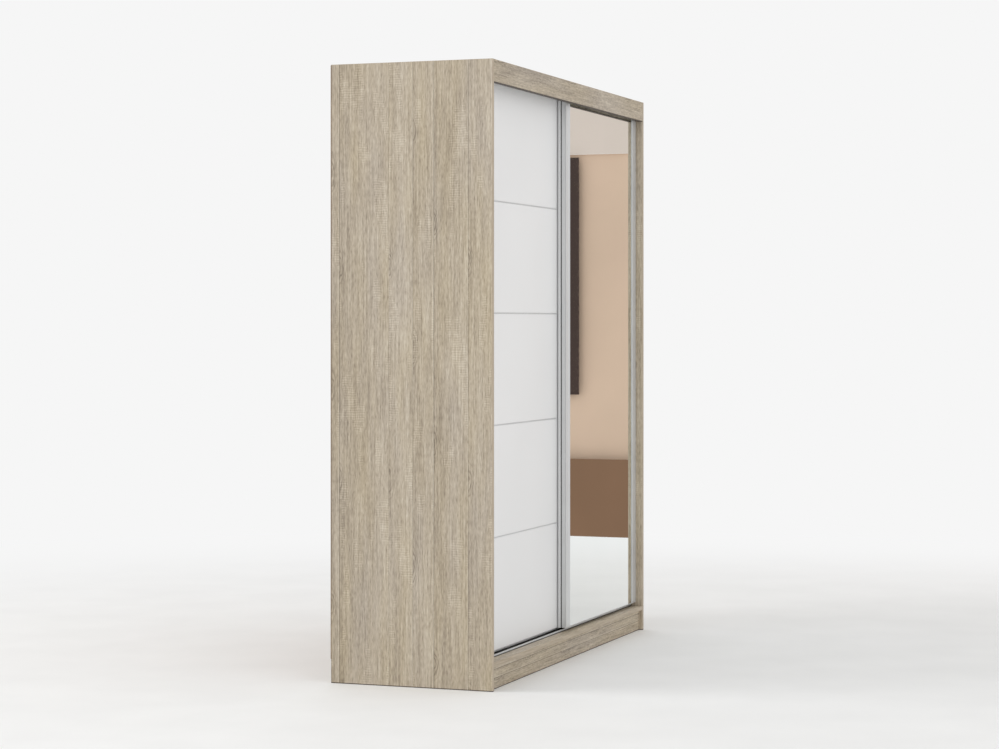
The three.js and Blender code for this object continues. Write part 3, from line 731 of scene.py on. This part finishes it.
def white_melamine():
    """A satin press finish with an orange-peel texture of about 2 mm."""
    material, tree = new_finish("white_melamine")
    place = add(tree, "ShaderNodeTexCoord").outputs["Object"]
    peel = add(tree, "ShaderNodeTexNoise", {"Scale": 480.0, "Detail": 2.0}, {"Vector": place})
    cloud = add(tree, "ShaderNodeTexNoise", {"Scale": 1.3, "Detail": 2.0}, {"Vector": place})
    colour = add(tree, "ShaderNodeValToRGB", {"stops": [(0.3, paint("ebebeb")), (0.7, paint("efefef"))]},
                 {"Fac": cloud})
    rough = add(tree, "ShaderNodeMapRange", {"To Min": 0.36, "To Max": 0.46}, {"Value": peel})
    bump = add(tree, "ShaderNodeBump", {"Strength": 0.10, "Distance": 0.0001}, {"Height": peel})
    close_finish(tree, add(tree, "ShaderNodeBsdfPrincipled", {"IOR": 1.5, "Specular IOR Level": 0.35},
                           {"Base Color": colour, "Roughness": rough, "Normal": bump}))
    return material


white_face = white_melamine()
for i in range(1, 6):
    name = f"white_field_{i}"
    bm = block(*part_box(name))
    ease(bm, FIELD_ROUND, segments=2)
    fit(f"{name}_panel", bm, [white_face], "white_door", "white_board", name)
for i in range(1, 5):
    name = f"white_divider_{i}"
    bm = block(*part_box(name))
    ease(bm, RAIL_ROUND, segments=2)
    fit(f"{name}_strip", bm, [level_aluminium], "white_door", "aluminium", name)


# Mirror. Four millimetre float glass, silvered behind, with its edge ground to a fine arris, on a
# hardboard backing.

ARRIS = 0.0006


def silvered_glass():
    """Silvering seen through clear float glass, which takes a trace of green from the light."""
    material, tree = new_finish("silvered_glass")
    place = add(tree, "ShaderNodeTexCoord").outputs["Object"]
    cloud = add(tree, "ShaderNodeTexNoise", {"Scale": 3.0, "Detail": 2.0}, {"Vector": place})
    colour = add(tree, "ShaderNodeValToRGB", {"stops": [(0.3, paint("f1f4f2")), (0.7, paint("f4f6f5"))]},
                 {"Fac": cloud})
    dust = add(tree, "ShaderNodeTexNoise", {"Scale": 90.0, "Detail": 4.0}, {"Vector": place})
    rough = add(tree, "ShaderNodeMapRange",
                {"From Min": 0.4, "From Max": 0.8, "To Min": 0.004, "To Max": 0.03}, {"Value": dust})
    close_finish(tree, add(tree, "ShaderNodeBsdfPrincipled", {"Metallic": 1.0},
                           {"Base Color": colour, "Roughness": rough}))
    return material


def ground_glass_edge():
    """The cut edge shows the glass's own green. Its grit is far finer, and drawn at 0.7 mm to show."""
    material, tree = new_finish("ground_glass_edge")
    place = add(tree, "ShaderNodeTexCoord").outputs["Object"]
    grit = add(tree, "ShaderNodeTexNoise", {"Scale": 1500.0, "Detail": 2.0}, {"Vector": place})
    colour = add(tree, "ShaderNodeValToRGB", {"stops": [(0.3, paint("6f8f82")), (0.7, paint("9fb9ad"))]},
                 {"Fac": grit})
    rough = add(tree, "ShaderNodeMapRange", {"To Min": 0.25, "To Max": 0.45}, {"Value": grit})
    close_finish(tree, add(tree, "ShaderNodeBsdfPrincipled", {"IOR": 1.52},
                           {"Base Color": colour, "Roughness": rough}))
    return material


silver = silvered_glass()
glass_edge = ground_glass_edge()
bm = block(*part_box("mirror_glass"))
ease(bm, ARRIS, segments=1)
for face in bm.faces:
    face.material_index = 0 if face.normal.y < -0.9 else 1
fit("mirror_glass_sheet", bm, [silver, glass_edge], "mirror_door", "mirror", "mirror_glass")
bm = block(*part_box("mirror_backing"))
ease(bm, SHEET_ROUND, segments=1)
fit("mirror_backing_sheet", bm, [bare_back], "mirror_door", "hardboard", "mirror_backing")


# Running gear. Behind each door's bottom rail two zinc plates carry a nylon wheel on a headed pin. The
# wheel's groove sits over the rib of the track. Behind the top rail two nylon angles slide in the channel.

PLATE_ROUND = 0.0003
WHEEL_ROUND = 0.0003
SCREW_HEAD = 0.0036
SCREW_PROUD = 0.0016
SCREW_RECESS = 0.0010
SHOE_ROUND = 0.0008
PLATE_SCREW_IN = 0.010
PLATE_SCREW_DOWN = 0.017
SHOE_SCREW_IN = 0.009
SHOE_SCREW_UP = 0.012


def nylon(name, dark, light, roughness):
    """Injection-moulded polyamide: a soft even sheen over a faint mould texture of 0.7 mm."""
    material, tree = new_finish(name)
    place = add(tree, "ShaderNodeTexCoord").outputs["Object"]
    grain = add(tree, "ShaderNodeTexNoise", {"Scale": 1400.0, "Detail": 2.0}, {"Vector": place})
    colour = add(tree, "ShaderNodeValToRGB", {"stops": [(0.3, paint(dark)), (0.7, paint(light))]},
                 {"Fac": grain})
    rough = add(tree, "ShaderNodeMapRange", {"To Min": roughness - 0.05, "To Max": roughness + 0.07},
                {"Value": grain})
    bump = add(tree, "ShaderNodeBump", {"Strength": 0.12, "Distance": 0.0001}, {"Height": grain})
    close_finish(tree, add(tree, "ShaderNodeBsdfPrincipled", {"IOR": 1.53},
                           {"Base Color": colour, "Roughness": rough, "Normal": bump}))
    return material


white_nylon = nylon("white_nylon", "d6d6d1", "e2e2de", 0.42)
black_nylon = nylon("black_nylon", "17181a", "232427", 0.48)
WHEEL_BODIES = {"left": "a", "right": "b"}

for door, body in DOORS.items():
    screws = bmesh.new()
    for end in ("left", "right"):
        name = f"{door}_carrier_{end}"
        low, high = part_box(name)
        bm = copy_of(name)
        ease(bm, PLATE_ROUND, segments=1, sharper_than=50)
        fit(f"{name}_plate", bm, [zinc], body, "zinc_steel", name)
        for x in (low.x + PLATE_SCREW_IN, high.x - PLATE_SCREW_IN):
            round_head(screws, (x, high.y, high.z - PLATE_SCREW_DOWN), (0, 1, 0), SCREW_HEAD, SCREW_PROUD,
                       recess=SCREW_RECESS)
        name = f"{door}_pin_{end}"
        bm = copy_of(name)
        ease(bm, PLATE_ROUND, segments=2, sharper_than=50)
        fit(f"{name}_rivet", bm, [zinc], body, "zinc_steel", name)
        name = f"{door}_wheel_{end}"
        bm = copy_of(name)
        ease(bm, WHEEL_ROUND, segments=2, sharper_than=35)
        fit(f"{name}_roller", bm, [white_nylon], f"{door}_wheel_{WHEEL_BODIES[end]}", "nylon_white", name)
        name = f"{door}_guide_{end}"
        low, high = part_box(name)
        bm = copy_of(name)
        ease(bm, SHOE_ROUND, segments=2)
        fit(f"{name}_shoe", bm, [black_nylon], body, "nylon_black", name)
        for x in (low.x + SHOE_SCREW_IN, high.x - SHOE_SCREW_IN):
            round_head(screws, (x, high.y, low.z + SHOE_SCREW_UP), (0, 1, 0), SCREW_HEAD, SCREW_PROUD,
                       recess=SCREW_RECESS)
    fit(f"{door}_door_screws", screws, [zinc], body, "zinc_steel")


# Pile seals. Grey brush strips, woven, cut and glued on: one along each door's outer edge, and a tall one
# on a black backing behind the mirror door's left stile. The backing's black is painted shade, for the
# shade deep in the gap between the doors.

SHADE_BACKING_DEPTH = 0.0040
SEAL_ROUND = 0.0004


def pile(name, tip, root):
    """Cut fibres that stand on a woven tape: matt, with tufts about a millimetre apart."""
    material, tree = new_finish(name)
    place = add(tree, "ShaderNodeTexCoord").outputs["Object"]
    tufts = add(tree, "ShaderNodeTexVoronoi", {"Scale": 900.0}, {"Vector": place})
    colour = add(tree, "ShaderNodeValToRGB", {"stops": [(0.1, paint(tip)), (0.7, paint(root))]},
                 {"Fac": tufts.outputs["Distance"]})
    bump = add(tree, "ShaderNodeBump", {"Strength": 0.8, "Distance": 0.0004, "invert": True},
               {"Height": tufts.outputs["Distance"]})
    close_finish(tree, add(tree, "ShaderNodeBsdfPrincipled",
                           {"Roughness": 0.95, "Sheen Weight": 0.3, "Sheen Roughness": 0.5},
                           {"Base Color": colour, "Normal": bump}))
    return material


brush = pile("grey_pile", "f2f2f2", "d9dadb")
# Painted shade: the black of this backing stands for the shade in the gap between the doors.
backing = pile("painted_shade_backing", "1c1c1d", "0b0b0c")
for name, body in (("white_edge_seal", "white_door"), ("mirror_edge_seal", "mirror_door"),
                   ("mirror_overlap_seal", "mirror_door")):
    low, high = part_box(name)
    bm = block(low, high)
    if name == "mirror_overlap_seal":
        bmesh.ops.bisect_plane(bm, geom=bm.verts[:] + bm.edges[:] + bm.faces[:],
                               plane_co=(0, low.y + SHADE_BACKING_DEPTH, 0), plane_no=(0, 1, 0))
    ease(bm, SEAL_ROUND, segments=2)
    for face in bm.faces:
        on_shade_backing = name == "mirror_overlap_seal" and face.calc_center_median().y < low.y + SHADE_BACKING_DEPTH
        face.material_index = 1 if on_shade_backing else 0
    fit(f"{name}_brush", bm, [brush, backing], body, "pile", name)
